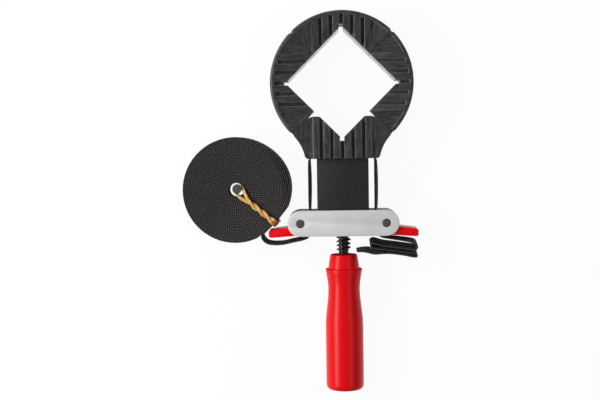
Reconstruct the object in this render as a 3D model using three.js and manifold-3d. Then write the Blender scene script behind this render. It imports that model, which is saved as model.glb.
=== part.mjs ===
import * as THREE from 'three';
import { mergeVertices } from 'three/addons/utils/BufferGeometryUtils.js';
import Module from 'manifold-3d';

// Band clamp for frames: four corner jaws on a webbing loop, drawn tight by a screw spindle.
// It lies on a bench: X to the right, Y from the handle to the jaws, Z up from the bench.

const wasm = await Module();
wasm.setup();

// Clearances
const seat_gap = 0.3;
const jaw_gap = 0.4;
const cut_overrun = 1;

// Handle
const handle_diameter = 37.2;
const handle_length = 137.6;
const handle_nose_diameter = 25;
const handle_nose_length = 15;
const handle_nose_end_diameter = 30.6;
const handle_collar_diameter = 36.2;
const handle_waist_diameter = 31.2;
const handle_waist_depth = 37;
const handle_grip_depth = 71;
const handle_edge_radius = 4;
const handle_dome = 1.4;
const handle_bore_depth = 70;
const handle_collar_flare = 1;
const handle_curve_shares = { nose_bulge: 0.95, nose: 0.5, collar: 0.5, waist: 0.3, swell: 0.8, grip: 0.9 };

// Housing
const plate_height = 25.5;
const plate_thickness = 3.5;
const plate_edge_break = 0.5;
const pin_diameter = 8;
const pin_hole_clearance = 0.3;
const rivet_head_height = 0.5;
const guide_thickness = 5.72;
const guide_height = 22.4;
const boss_depth = 1.6;
const boss_width = 3;
const boss_height = 14;
const nut_height = 16;
const nut_wall = 2.4;
const nut_tenon_length = 2.6;
const nut_tenon_side = 9;

// Webbing
const strap_width = 25;
const strap_thickness = 1.35;
const strap_channel_clearance = 0.75;
const strap_bend_radius = 5;
const loose_reach = 50;

// Cam levers
const lever_reach = 31.6;
const cam_radius = 9.03;
const lever_root_thickness = 9.4;
const lever_tip_thickness = 7.6;
const lever_tip_radius = 2.6;
const lever_drop = 7.4;
const lever_tip_drop = 2.6;
const lever_hub_radius = 8;
const cam_relief = 1.4;
const cam_tooth_depth = 0.7;
const lever_release_angle = THREE.MathUtils.degToRad(50);
const cam_tooth_pitch_angle = THREE.MathUtils.degToRad(8);
const cam_hub_steps = 20;
const cam_hub_ease_steps = 5;

// Slider
const slider_width = 51;
const slider_cheek_thickness = 5.1;
const slider_rise = 63.8;
const slider_tail = 11.4;
const slider_head_height = 14.4;
const slider_corner = 2.5;
const tongue_length = 9;
const tongue_width = 9;
const tongue_thickness = 7.6;
const tongue_offset = 15.6;

// Spindle
const thread_diameter = 14;
const thread_root_diameter = 9.6;
const thread_pitch = 4;
const thread_crest_width = 1.3;
const thread_root_width = 1.5;
const thread_clearance = 0.35;
const thread_steps = 16;
const journal_diameter = 9;
const journal_clearance = 0.4;
const neck_length = 3.4;
const spindle_neck_end = -31.4;
const washer_overhang = 1.5;
const washer_thickness = 1.5;
const ring_diameter = 14.6;
const ring_thickness = 1.2;
const ring_mouth_share = 0.6;
const ring_recess_diameter = 18;
const ring_recess_depth = 6;
const groove_diameter = 7.6;

// Corner jaws
const ring_radius = 70.5;
const opening_apothem = 39;
const vertex_notch_width = 4.7;
const vertex_notch_depth = 2.05;
const slot_pitch = 10.4;
const slots_each_side = 2;
const slot_width = 4;
const slot_depth = 4;
const rim_wall = 3.8;
const pocket_start = 28.8;
const pocket_depth = 2.4;
const strap_channel_depth = 2.2;
const rim_corner_radius = 2;

// Bottom jaw
const horn_height = 5.4;
const horn_flat_length = 6.9;
const horn_slant_reach = 5.7;
const jaw_neck_length = 9.22;
const neck_wall = 4.5;
const neck_corner_cut = 2.2;
const flank_depth_share = 0.16;

// Coil of spare webbing
const coil_centre_outset = 64.8;
const coil_centre_y = 34.7;
const coil_lift = 1.8;
const coil_radius = 54;
const coil_bore_radius = 8;
const coil_turns = 24;
const coil_steps_per_turn = 24;
const coil_flat_share = 0.062;
const coil_end_angle = THREE.MathUtils.degToRad(-52);
const peg_diameter = 8.6;
const peg_shift = 0.2;
const peg_stand = 3.2;
const band_width = 4;
const band_thickness = 1.1;
const band_gap = 0.35;
const band_direction = -38;
const band_corner_steps = 3;
const lead_level_share = 0.25;

// Facets round a full turn
const round_segments = 32;
const rim_segments = 96;
const rim_steps = 14;

// Facets along the loose webbing
const lead_steps = 46;
const tail_steps = 78;

// Sizes that follow from the ones above
const body_depth = thread_diameter + 2 * (nut_wall + slider_cheek_thickness + plate_thickness) + 4 * seat_gap;
const axis_z = body_depth / 2;
const inner_low = plate_thickness;
const inner_high = body_depth - plate_thickness;
const plate_end_radius = plate_height / 2;
const slider_half = slider_width / 2;
const guide_inner = slider_half + seat_gap;
const guide_outer = guide_inner + guide_thickness;
const strap_run_x = guide_outer + seat_gap + strap_thickness / 2;
const pin_x = strap_run_x + strap_thickness / 2 + seat_gap + cam_radius;
const strap_low = axis_z - strap_width / 2;
const channel_half = strap_width / 2 + strap_channel_clearance;
const channel_floor_radius = ring_radius - strap_channel_depth;
const strap_ring_radius = channel_floor_radius + seat_gap + strap_thickness / 2;
const quarter = Math.PI / 4;
const strap_end_angle = quarter + Math.asin(jaw_gap / 2 / strap_ring_radius);
const split_point = polar(strap_ring_radius, strap_end_angle);
const bend_y = split_point[1] + split_point[0] - strap_run_x;
const jaw_drop = bend_y + jaw_neck_length;
const ring_centre_y = slider_rise + jaw_drop;
const slider_low = inner_low + seat_gap;
const slider_high = inner_high - seat_gap;
const nut_low = slider_low + slider_cheek_thickness + seat_gap;
const nut_high = slider_high - slider_cheek_thickness - seat_gap;
const slider_top = slider_rise - seat_gap;
const head_bottom = slider_top - slider_head_height;
const opening_vertex = opening_apothem * Math.SQRT2;

// Solid helpers
function solid(geometry) {
  const bare = new THREE.BufferGeometry();
  bare.setAttribute('position', geometry.getAttribute('position').clone());
  if (geometry.index) bare.setIndex(geometry.index.clone());
  const merged = mergeVertices(bare, 1e-5);
  return new wasm.Manifold(new wasm.Mesh({
    numProp: 3,
    vertProperties: Float32Array.from(merged.attributes.position.array),
    triVerts: Uint32Array.from(merged.index.array),
  }));
}

function closedForm(geometry) {
  const body = solid(geometry);
  if (body.volume() > 0) return body;
  const turned_index = Array.from(geometry.index.array);
  for (let k = 0; k < turned_index.length; k += 3) {
    [turned_index[k + 1], turned_index[k + 2]] = [turned_index[k + 2], turned_index[k + 1]];
  }
  geometry.setIndex(turned_index);
  return solid(geometry);
}

function geometryOf(body) {
  const mesh = body.getMesh();
  const geometry = new THREE.BufferGeometry();
  const positions = Float32Array.from(mesh.vertProperties);
  geometry.setAttribute('position', new THREE.BufferAttribute(positions, 3));
  geometry.setIndex(new THREE.BufferAttribute(Uint32Array.from(mesh.triVerts), 1));
  const flat = geometry.toNonIndexed();
  flat.computeVertexNormals();
  return flat;
}

function plate(shape, low, high, segments = 12) {
  const geometry = new THREE.ExtrudeGeometry(shape, {
    depth: high - low, bevelEnabled: false, curveSegments: segments,
  });
  geometry.translate(0, 0, low);
  return solid(geometry);
}

function block(x_low, x_high, y_low, y_high, z_low, z_high) {
  const geometry = new THREE.BoxGeometry(x_high - x_low, y_high - y_low, z_high - z_low);
  geometry.translate((x_low + x_high) / 2, (y_low + y_high) / 2, (z_low + z_high) / 2);
  return solid(geometry);
}

function turned(points, segments) {
  const profile = points.map(([radius, y]) => new THREE.Vector2(radius, y));
  const geometry = new THREE.LatheGeometry(profile, segments);
  geometry.translate(0, 0, axis_z);
  return solid(geometry);
}

function upright(radius, x, y, low, high, segments = round_segments) {
  const geometry = new THREE.CylinderGeometry(radius, radius, high - low, segments);
  geometry.rotateX(Math.PI / 2);
  geometry.translate(x, y, (low + high) / 2);
  return solid(geometry);
}

function polygon(points) {
  return new THREE.Shape(points.map(([x, y]) => new THREE.Vector2(x, y)));
}

function mirrored(points) {
  return points.map(([x, y]) => [-x, y]).reverse();
}

// A ribbon of webbing standing on edge: its centre line in plan, thickened and drawn upwards
function offsetLine(line, distance) {
  return line.map((point, i) => {
    const before = line[Math.max(i - 1, 0)];
    const after = line[Math.min(i + 1, line.length - 1)];
    const along = new THREE.Vector2().subVectors(after, before).normalize();
    const into = new THREE.Vector2().subVectors(point, before).normalize();
    const out = new THREE.Vector2().subVectors(after, point).normalize();
    const inside = i > 0 && i < line.length - 1;
    const half_turn_cosine = inside ? Math.sqrt((1 + into.dot(out)) / 2) : 1;
    const reach = distance / Math.max(half_turn_cosine, Math.SQRT1_2);
    return new THREE.Vector2(point.x - along.y * reach, point.y + along.x * reach);
  });
}

function ribbon(line, low, high, thickness = strap_thickness) {
  const left = offsetLine(line, thickness / 2);
  const right = offsetLine(line, -thickness / 2);
  return plate(new THREE.Shape([...left, ...right.reverse()]), low, high, 1);
}

function strapRibbon(line) {
  return ribbon(line, strap_low, strap_low + strap_width);
}

// A right-handed screw about Y: four helical lines of the thread's profile, joined to the next turn
// by the root surface, with a plain root cylinder and a flat face at each end
function threadedRod(root_radius, crest_radius, crest_width, base_width, y_low, y_high, steps) {
  const step_rise = thread_pitch / steps;
  const first = Math.ceil((y_low + base_width) / step_rise);
  const count = Math.floor((y_high - base_width) / step_rise) - first;
  const profile = [[root_radius, -base_width / 2], [crest_radius, -crest_width / 2],
    [crest_radius, crest_width / 2], [root_radius, base_width / 2]];
  const positions = [];
  const indices = [];
  const put = (radius, y, step) => {
    const angle = step / steps * 2 * Math.PI;
    positions.push(radius * Math.sin(angle), y, axis_z + radius * Math.cos(angle));
    return positions.length / 3 - 1;
  };
  const lines = [];
  for (let i = 0; i <= count; i += 1) {
    lines.push(profile.map(([radius, rise]) => put(radius, (first + i) * step_rise + rise, first + i)));
  }
  const face = (...corners) => {
    for (let k = 1; k < corners.length - 1; k += 1) indices.push(corners[0], corners[k], corners[k + 1]);
  };
  for (let i = 0; i < count; i += 1) {
    const here = lines[i];
    const next = lines[i + 1];
    for (let j = 0; j < profile.length - 1; j += 1) face(here[j], next[j], next[j + 1], here[j + 1]);
    if (i + steps < count) face(here[3], next[3], lines[i + steps + 1][0], lines[i + steps][0]);
  }
  face(...lines[0]);
  face(...[...lines[count]].reverse());
  const ends = [[y_low, 0, 0], [y_high, count, 3]];
  for (const [y, from, side] of ends) {
    const up = side === 3;
    const ring_start = first + (up ? count - steps : 0);
    const ring = Array.from({ length: steps }, (_, k) => put(root_radius, y, ring_start + k));
    const centre = put(0, y, 0);
    for (let k = 0; k < steps; k += 1) {
      const a = ring[k];
      const b = ring[(k + 1) % steps];
      const i = up ? count - steps + k : k;
      const low = lines[i][side];
      const high = lines[i + 1][side];
      if (up) {
        face(centre, a, b);
        if (k === 0) {
          face(b, a, lines[count][3], high);
          face(high, lines[count][3], lines[count][0]);
          face(high, lines[count][0], low);
        } else {
          face(low, high, b, a);
        }
      } else {
        face(centre, b, a);
        if (k === steps - 1) {
          face(low, a, b, lines[0][0]);
          face(low, lines[0][0], lines[0][3]);
          face(low, lines[0][3], high);
        } else {
          face(low, a, b, high);
        }
      }
    }
  }
  const geometry = new THREE.BufferGeometry();
  geometry.setAttribute('position', new THREE.BufferAttribute(new Float32Array(positions), 3));
  geometry.setIndex(indices);
  return closedForm(geometry);
}

// Materials
const satin_steel = new THREE.MeshStandardMaterial({ color: 0xd2d3d6, roughness: 0.38, metalness: 0.8 });
const dark_steel = new THREE.MeshStandardMaterial({ color: 0x4a403a, roughness: 0.45, metalness: 0.6 });
const black_steel = new THREE.MeshStandardMaterial({ color: 0x232325, roughness: 0.4, metalness: 0.5 });
const red_gloss = new THREE.MeshStandardMaterial({ color: 0xd00a12, roughness: 0.22, metalness: 0 });
const grey_plastic = new THREE.MeshStandardMaterial({ color: 0x464649, roughness: 0.6, metalness: 0 });
const black_plastic = new THREE.MeshStandardMaterial({ color: 0x2d2d2f, roughness: 0.65, metalness: 0 });
const webbing = new THREE.MeshStandardMaterial({ color: 0x2d2a2b, roughness: 0.9, metalness: 0 });
const amber_rubber = new THREE.MeshStandardMaterial({ color: 0xd7a046, roughness: 0.5, metalness: 0 });

const clamp = new THREE.Group();

function add(name, body, material) {
  const mesh = new THREE.Mesh(geometryOf(body), material);
  mesh.name = name;
  clamp.add(mesh);
}

// Housing plates: two long plates with round ends about the pins, held apart by the guide blocks
function plateOutline(inset) {
  const radius = plate_end_radius - inset;
  const outline = new THREE.Shape();
  outline.absarc(pin_x, 0, radius, -Math.PI / 2, Math.PI / 2);
  outline.absarc(-pin_x, 0, radius, Math.PI / 2, Math.PI * 1.5);
  return outline;
}

const guide_middle = (guide_inner + guide_outer) / 2;

function bosses(side, low, high, clearance) {
  const half_width = boss_width / 2 + clearance;
  const half_height = boss_height / 2 + clearance;
  return block(side * guide_middle - half_width, side * guide_middle + half_width,
    -half_height, half_height, low, high);
}

function housingPlate(low, high, inner_face, into_plate) {
  const middle = (low + high) / 2;
  let body = plate(plateOutline(plate_edge_break), low, high, 12)
    .add(plate(plateOutline(0), Math.min(middle, middle - (plate_thickness / 2 - plate_edge_break)),
      middle + plate_thickness / 2 - plate_edge_break, 12));
  for (const side of [-1, 1]) {
    body = body.subtract(upright(pin_diameter / 2 + pin_hole_clearance, side * pin_x, 0,
      low - cut_overrun, high + cut_overrun));
    const recess = inner_face + into_plate * (boss_depth + seat_gap);
    body = body.subtract(bosses(side, Math.min(recess, inner_face - into_plate * cut_overrun),
      Math.max(recess, inner_face - into_plate * cut_overrun), seat_gap));
  }
  return body;
}

add('back_plate', housingPlate(0, plate_thickness, inner_low, -1), satin_steel);
add('front_plate', housingPlate(inner_high, body_depth, inner_high, 1), satin_steel);

// Rivets: plain pins through both plates, the lever pivots
for (const [side, name] of [[-1, 'left_rivet'], [1, 'right_rivet']]) {
  const rivet = upright(pin_diameter / 2, side * pin_x, 0, seat_gap, body_depth)
    .add(upright(pin_diameter / 2 - rivet_head_height, side * pin_x, 0,
      body_depth - cut_overrun, body_depth + rivet_head_height));
  add(name, rivet, dark_steel);
}

// Guide blocks: they hold the plates apart, guide the slider and back the webbing
const mortise = nut_tenon_side / 2 + seat_gap;
for (const [side, name] of [[-1, 'left_guide'], [1, 'right_guide']]) {
  const x_low = Math.min(side * guide_inner, side * guide_outer);
  let guide = block(x_low, x_low + guide_thickness, -guide_height / 2, guide_height / 2,
    slider_low, slider_high);
  guide = guide.add(bosses(side, inner_low - boss_depth, inner_high + boss_depth, 0));
  const inner = side * (guide_inner - cut_overrun);
  const depth = side * (guide_inner + nut_tenon_length + seat_gap);
  guide = guide.subtract(block(Math.min(inner, depth), Math.max(inner, depth), -mortise, mortise,
    axis_z - mortise, axis_z + mortise));
  add(name, guide, dark_steel);
}

// Nut bar: spans the housing between the slider's cheeks and carries the internal thread
const nut_half = guide_inner - seat_gap;
const tenon_reach = guide_inner + nut_tenon_length;
const ridge_base = thread_pitch - thread_root_width;
const nut_thread = threadedRod(thread_root_diameter / 2 + thread_clearance,
  thread_diameter / 2 + thread_clearance, thread_crest_width + 2 * thread_clearance,
  ridge_base + 2 * thread_clearance, -nut_height / 2 - 2 * thread_pitch,
  nut_height / 2 + 2 * thread_pitch, thread_steps);
const nut_bar = block(-nut_half, nut_half, -nut_height / 2, nut_height / 2, nut_low, nut_high)
  .add(block(-tenon_reach, tenon_reach, -nut_tenon_side / 2, nut_tenon_side / 2,
    axis_z - nut_tenon_side / 2, axis_z + nut_tenon_side / 2))
  .subtract(nut_thread);
add('nut_bar', nut_bar, dark_steel);

// Cam levers: a toothed cam on the pivot and a short blade that a thumb pushes
function camProfile() {
  const points = [];
  const steps_per_tooth = 2;
  const step = cam_tooth_pitch_angle / steps_per_tooth;
  const teeth_span = lever_release_angle + 2 * cam_tooth_pitch_angle;
  const first = Math.PI - teeth_span;
  const count = Math.round(teeth_span / step);
  for (let i = 0; i <= count; i += 1) {
    const angle = first + i * step;
    const released = Math.min((Math.PI - angle) / lever_release_angle, 1);
    const tooth = i % steps_per_tooth ? cam_tooth_depth : 0;
    const radius = cam_radius - cam_relief * Math.max(released, 0) - tooth;
    points.push([radius * Math.cos(angle), radius * Math.sin(angle)]);
  }
  const start = Math.PI;
  const end = 2 * Math.PI + first;
  for (let i = 1; i < cam_hub_steps; i += 1) {
    const angle = start + (end - start) * i / cam_hub_steps;
    const eased = Math.min(i / cam_hub_ease_steps, 1);
    const radius = cam_radius + (lever_hub_radius - cam_radius) * eased;
    points.push([radius * Math.cos(angle), radius * Math.sin(angle)]);
  }
  return polygon(points);
}

function bladeOutline() {
  const root_x = lever_hub_radius / 2;
  const outline = new THREE.Shape();
  const top_root = -lever_drop + lever_root_thickness / 2;
  const top_tip = -lever_drop - lever_tip_drop + lever_tip_thickness / 2;
  const low_tip = top_tip - lever_tip_thickness;
  outline.moveTo(root_x, top_root);
  outline.lineTo(lever_reach - lever_tip_radius, top_tip);
  outline.quadraticCurveTo(lever_reach, top_tip, lever_reach, top_tip - lever_tip_radius);
  outline.lineTo(lever_reach, low_tip + lever_tip_radius);
  outline.quadraticCurveTo(lever_reach, low_tip, lever_reach - lever_tip_radius, low_tip);
  outline.lineTo(root_x, -lever_drop - lever_root_thickness / 2);
  outline.lineTo(-lever_hub_radius / 2, -lever_hub_radius * Math.sqrt(3) / 2);
  outline.lineTo(0, 0);
  return outline;
}

const lever_blank = plate(camProfile(), slider_low, slider_high)
  .add(plate(bladeOutline(), slider_low, slider_high, 5))
  .subtract(upright(pin_diameter / 2 + pin_hole_clearance, 0, 0, 0, body_depth));
add('right_lever', lever_blank.translate([pin_x, 0, 0]), red_gloss);
add('left_lever', lever_blank.mirror([1, 0, 0]).translate([-pin_x, 0, 0]), red_gloss);

// Slider: a head block on two cheeks that straddle the nut bar, with tongues into the bottom jaw
const slider_outline = new THREE.Shape();
slider_outline.moveTo(-slider_half, -slider_tail + slider_corner);
slider_outline.lineTo(-slider_half + slider_corner, -slider_tail);
slider_outline.lineTo(slider_half - slider_corner, -slider_tail);
slider_outline.lineTo(slider_half, -slider_tail + slider_corner);
slider_outline.lineTo(slider_half, slider_top);
slider_outline.lineTo(-slider_half, slider_top);
let slider = plate(slider_outline, slider_low, slider_high)
  .subtract(block(-slider_half - cut_overrun, slider_half + cut_overrun, -slider_tail - cut_overrun,
    head_bottom, slider_low + slider_cheek_thickness, slider_high - slider_cheek_thickness));
for (const side of [-1, 1]) {
  const x = side * tongue_offset;
  slider = slider.add(block(x - tongue_width / 2, x + tongue_width / 2, slider_top - cut_overrun,
    slider_top + tongue_length, axis_z - tongue_thickness / 2, axis_z + tongue_thickness / 2));
}
const journal_bore = journal_diameter / 2 + journal_clearance;
const recess_floor = slider_top - ring_recess_depth;
slider = slider
  .subtract(turned([[0, head_bottom - cut_overrun], [journal_bore, head_bottom - cut_overrun],
    [journal_bore, slider_top + cut_overrun], [0, slider_top + cut_overrun]], round_segments))
  .subtract(turned([[0, recess_floor], [ring_recess_diameter / 2, recess_floor],
    [ring_recess_diameter / 2, slider_top + cut_overrun], [0, slider_top + cut_overrun]], round_segments));
add('slider', slider, black_plastic);

// Spindle: threaded from the handle to the thrust washer, with a journal through the slider's head
const washer_low = head_bottom - seat_gap - washer_thickness;
const thread_top = washer_low - seat_gap;
const thread_low = spindle_neck_end + neck_length;
const ring_low = recess_floor + seat_gap;
const groove_low = ring_low - seat_gap;
const groove_high = ring_low + ring_thickness + seat_gap;
const journal_top = groove_high + ring_thickness;
const shank_low = spindle_neck_end - handle_bore_depth + seat_gap;
const journal = journal_diameter / 2;
const root = thread_root_diameter / 2;
const spindle = threadedRod(root, thread_diameter / 2, thread_crest_width, ridge_base,
  thread_low, thread_top, thread_steps)
  .add(turned([[0, shank_low], [root, shank_low], [root, thread_low + cut_overrun],
    [0, thread_low + cut_overrun]], thread_steps))
  .add(turned([[0, thread_top - cut_overrun], [journal, thread_top - cut_overrun], [journal, groove_low],
    [groove_diameter / 2, groove_low], [groove_diameter / 2, groove_high], [journal, groove_high],
    [journal, journal_top], [0, journal_top]], 24));
add('spindle', spindle, black_steel);
const collar_bore = journal + seat_gap;
const washer_radius = thread_diameter / 2 + washer_overhang;
add('thrust_washer', turned([[collar_bore, washer_low], [washer_radius, washer_low],
  [washer_radius, washer_low + washer_thickness], [collar_bore, washer_low + washer_thickness],
  [collar_bore, washer_low]], round_segments), dark_steel);
const ring_bore = groove_diameter / 2 + seat_gap;
add('retaining_ring', turned([[ring_bore, ring_low], [ring_diameter / 2, ring_low],
  [ring_diameter / 2, ring_low + ring_thickness], [ring_bore, ring_low + ring_thickness],
  [ring_bore, ring_low]], round_segments)
  .subtract(block(-ring_bore * ring_mouth_share, ring_bore * ring_mouth_share, ring_low - cut_overrun,
    ring_low + ring_thickness + cut_overrun, axis_z, axis_z + ring_diameter)), dark_steel);

// Handle: a turned grip with a tapered nose, a collar, a waist and a straight end
function handleProfile() {
  const bore = root + seat_gap;
  const nose_end = spindle_neck_end - handle_nose_length;
  const waist = spindle_neck_end - handle_waist_depth;
  const grip = spindle_neck_end - handle_grip_depth;
  const end = spindle_neck_end - handle_length;
  const radii = (diameter) => diameter / 2;
  const pull = (share) => handle_nose_length * share;
  const nose = new THREE.QuadraticBezierCurve(
    new THREE.Vector2(radii(handle_nose_diameter), spindle_neck_end),
    new THREE.Vector2(radii(handle_nose_end_diameter) * handle_curve_shares.nose_bulge,
      spindle_neck_end - pull(handle_curve_shares.nose)),
    new THREE.Vector2(radii(handle_nose_end_diameter), nose_end),
  );
  const waist_curve = new THREE.CubicBezierCurve(
    new THREE.Vector2(radii(handle_collar_diameter), nose_end - seat_gap),
    new THREE.Vector2(radii(handle_waist_diameter) + handle_collar_flare,
      nose_end - pull(handle_curve_shares.collar)),
    new THREE.Vector2(radii(handle_waist_diameter), waist + pull(handle_curve_shares.waist)),
    new THREE.Vector2(radii(handle_waist_diameter), waist),
  );
  const swell = new THREE.CubicBezierCurve(
    new THREE.Vector2(radii(handle_waist_diameter), waist),
    new THREE.Vector2(radii(handle_waist_diameter), waist - pull(handle_curve_shares.swell)),
    new THREE.Vector2(radii(handle_diameter), grip + pull(handle_curve_shares.grip)),
    new THREE.Vector2(radii(handle_diameter), grip),
  );
  const heel = new THREE.QuadraticBezierCurve(
    new THREE.Vector2(radii(handle_diameter), end + handle_edge_radius + handle_dome),
    new THREE.Vector2(radii(handle_diameter), end + handle_dome),
    new THREE.Vector2(radii(handle_diameter) - handle_edge_radius, end + handle_dome),
  );
  const heel_points = heel.getPoints(4);
  const bottom = [
    [radii(handle_diameter) / 2, end + handle_dome / 4],
    [0, end],
  ];
  const outside = [...nose.getPoints(4), ...waist_curve.getPoints(6), ...swell.getPoints(7).slice(1),
    ...heel_points].map((p) => [p.x, p.y]);
  return [
    [0, spindle_neck_end - handle_bore_depth],
    [bore, spindle_neck_end - handle_bore_depth],
    [bore, spindle_neck_end],
    ...outside,
    ...bottom,
  ].reverse();
}
add('handle', turned(handleProfile(), round_segments), red_gloss);

// Jaw outline, with the jaw's bisector along +Y and the ring's centre at the origin
function polar(radius, angle) {
  return [radius * Math.cos(angle), radius * Math.sin(angle)];
}

function arcPoints(radius, from, to, count) {
  return Array.from({ length: count + 1 }, (_, i) => polar(radius, from + (to - from) * i / count));
}

const split_shift = jaw_gap / 2 * Math.SQRT2;
const vertex_notch_reach = opening_vertex + vertex_notch_depth;

// The split faces lie half the jaw gap inside the diagonals
function jawHalf() {
  const rim_angle = Math.asin(jaw_gap / 2 / ring_radius);
  const corner_angle = rim_corner_radius / ring_radius;
  const start = quarter + rim_angle;
  const inset = ring_radius - rim_corner_radius;
  const inner = opening_apothem / Math.SQRT2;
  return [
    [vertex_notch_width / 2, vertex_notch_reach],
    [vertex_notch_width / 2, opening_vertex - vertex_notch_width / 2],
    [inner - split_shift / 2, inner + split_shift / 2],
    polar(inset, quarter + Math.asin(jaw_gap / 2 / inset)),
    ...arcPoints(ring_radius, start + corner_angle, Math.PI / 2, rim_steps),
  ];
}

function jawOutline() {
  const half = jawHalf();
  return polygon([...half, ...mirrored(half.slice(0, -1))]);
}

// Slots pressed into both faces, parallel to the bisector, inside a plain rim
const inner_rim = ring_radius - rim_wall;

function reliefCuts(slot_end, slots_open_outside) {
  const cuts = [];
  const faces = [[-cut_overrun, slot_depth], [body_depth - slot_depth, body_depth + cut_overrun]];
  for (const [low, high] of faces) {
    for (let i = -slots_each_side; i <= slots_each_side; i += 1) {
      const x = i * slot_pitch;
      const edge = Math.abs(x) + slot_width / 2;
      const bottom = opening_vertex - edge - slot_width * 2;
      const top = slots_open_outside ? slot_end + cut_overrun
        : Math.sqrt(inner_rim ** 2 - edge ** 2);
      cuts.push(block(x - slot_width / 2, x + slot_width / 2, bottom, top, low, high));
    }
  }
  return cuts;
}

// A pocket's floor lies in the face at the split and sinks away from it, towards the ribs
const pocket_end = Math.sqrt(inner_rim ** 2 - pocket_start ** 2);
const pocket_slope = Math.atan(pocket_depth * Math.SQRT2 / (pocket_end - pocket_start));
const over_pocket_floor = block(0, 2 * ring_radius, -cut_overrun, 2 * ring_radius, 0, body_depth)
  .rotate([-THREE.MathUtils.radToDeg(pocket_slope), 0, 0]).rotate([0, 0, 45])
  .translate([0, 0, body_depth]);

function pocketCuts(outline) {
  const right = plate(polygon(outline), axis_z, body_depth + cut_overrun).intersect(over_pocket_floor);
  const front = [right, right.mirror([1, 0, 0])];
  const back = front.map((cut) => cut.mirror([0, 0, 1]).translate([0, 0, body_depth]));
  return [...front, ...back];
}

const corner_pocket = [
  [pocket_start, pocket_start - cut_overrun],
  ...arcPoints(inner_rim, quarter - cut_overrun / inner_rim, Math.acos(pocket_start / inner_rim), 7),
];

function cutAll(body, cuts) {
  return cuts.reduce((left, cut) => left.subtract(cut), body);
}

function annulus(inner, outer, low, high) {
  return turned([[inner, 0], [outer, 0], [outer, 1], [inner, 1], [inner, 0]], rim_segments)
    .translate([0, 0, -axis_z]).rotate([90, 0, 0]).scale([1, 1, high - low]).translate([0, 0, low]);
}

const channel_low = axis_z - channel_half;
const channel_high = axis_z + channel_half;
const rim_channel = annulus(channel_floor_radius, ring_radius + 2 * cut_overrun, channel_low, channel_high);
const corner_jaw = cutAll(plate(jawOutline(), 0, body_depth, 1).subtract(rim_channel),
  [...reliefCuts(0, false), ...pocketCuts(corner_pocket)]);

const jaw_turns = [['top_jaw', 0], ['left_jaw', 90], ['right_jaw', -90]];
for (const [name, turn] of jaw_turns) {
  add(name, corner_jaw.rotate([0, 0, turn]).translate([0, ring_centre_y, 0]), grey_plastic);
}

// Webbing over each of those jaws, lying in the channel of the rim
const over_line = arcPoints(strap_ring_radius, strap_end_angle, Math.PI - strap_end_angle,
  2 * rim_steps)
  .map(([x, y]) => new THREE.Vector2(x, y));
const over_strap = strapRibbon(over_line);
for (const [name, turn] of jaw_turns) {
  const strap = over_strap.rotate([0, 0, turn]).translate([0, ring_centre_y, 0]);
  add(name.replace('jaw', 'strap'), strap, webbing);
}

// Bottom jaw: drawn with its bisector along +Y like the others, then turned to point down
const inner_corner = opening_apothem / Math.SQRT2;
const corner_inset = ring_radius - rim_corner_radius;
const rim_start = polar(ring_radius, quarter + Math.asin(jaw_gap / 2 / ring_radius));
const neck_half_width = strap_run_x + neck_wall;
const neck_top = jaw_drop - neck_corner_cut;
const neck_corner = [neck_half_width, neck_top];
const flank_middle = [
  (rim_start[0] + neck_corner[0]) / 2 - (neck_corner[1] - rim_start[1]) * flank_depth_share,
  (rim_start[1] + neck_corner[1]) / 2 - (rim_start[0] - neck_corner[0]) * flank_depth_share,
];
const flank = new THREE.QuadraticBezierCurve(
  new THREE.Vector2(...rim_start), new THREE.Vector2(...flank_middle), new THREE.Vector2(...neck_corner),
).getPoints(8).slice(1).map((p) => [p.x, p.y]);
const horn_x = inner_corner - split_shift / 2 - horn_height;
const horn_y = inner_corner + split_shift / 2 + horn_height;
const horn_end_x = horn_x + horn_flat_length;
const bottom_half = [
  [vertex_notch_width / 2, vertex_notch_reach],
  [vertex_notch_width / 2, opening_vertex - vertex_notch_width / 2],
  [horn_x, horn_y],
  [horn_end_x, horn_y],
  [horn_end_x + horn_slant_reach, horn_end_x + horn_slant_reach + split_shift],
  polar(corner_inset, quarter + Math.asin(jaw_gap / 2 / corner_inset)),
  ...flank,
  [neck_half_width - neck_corner_cut, jaw_drop],
];
const bottom_outline = polygon([...bottom_half, ...mirrored(bottom_half)]);

// The webbing leaves the rim at the split and runs straight to its slot in the neck
const bend_reach = strap_bend_radius * Math.tan(quarter / 2);
function bottomStrapLine(y_end) {
  const lean = bend_reach * Math.SQRT1_2;
  const before = new THREE.Vector2(strap_run_x + lean, bend_y - lean);
  const corner = new THREE.Vector2(strap_run_x, bend_y);
  const after = new THREE.Vector2(strap_run_x, bend_y + bend_reach);
  const bend = new THREE.QuadraticBezierCurve(before, corner, after).getPoints(5);
  return [new THREE.Vector2(...split_point), ...bend, new THREE.Vector2(strap_run_x, y_end)];
}

const slot_thickness = strap_thickness + 2 * seat_gap;
const slot_line = bottomStrapLine(jaw_drop + cut_overrun);
slot_line[0] = new THREE.Vector2(split_point[0] + cut_overrun, split_point[1] - cut_overrun);
let bottom_jaw = plate(bottom_outline, 0, body_depth, 1);
for (const side of [1, -1]) {
  const line = side === 1 ? slot_line : slot_line.map((p) => new THREE.Vector2(-p.x, p.y));
  bottom_jaw = bottom_jaw.subtract(ribbon(line, channel_low, channel_high, slot_thickness));
}
const tongue_cuts = [-1, 1].map((side) => block(
  side * tongue_offset - tongue_width / 2 - seat_gap, side * tongue_offset + tongue_width / 2 + seat_gap,
  jaw_drop - tongue_length - seat_gap, jaw_drop + cut_overrun,
  axis_z - tongue_thickness / 2 - seat_gap, axis_z + tongue_thickness / 2 + seat_gap,
));
const bottom_pocket = [
  [pocket_start, pocket_start - cut_overrun],
  [ring_radius, ring_radius - cut_overrun],
  [ring_radius, jaw_drop + cut_overrun],
  [pocket_start, jaw_drop + cut_overrun],
];
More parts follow.
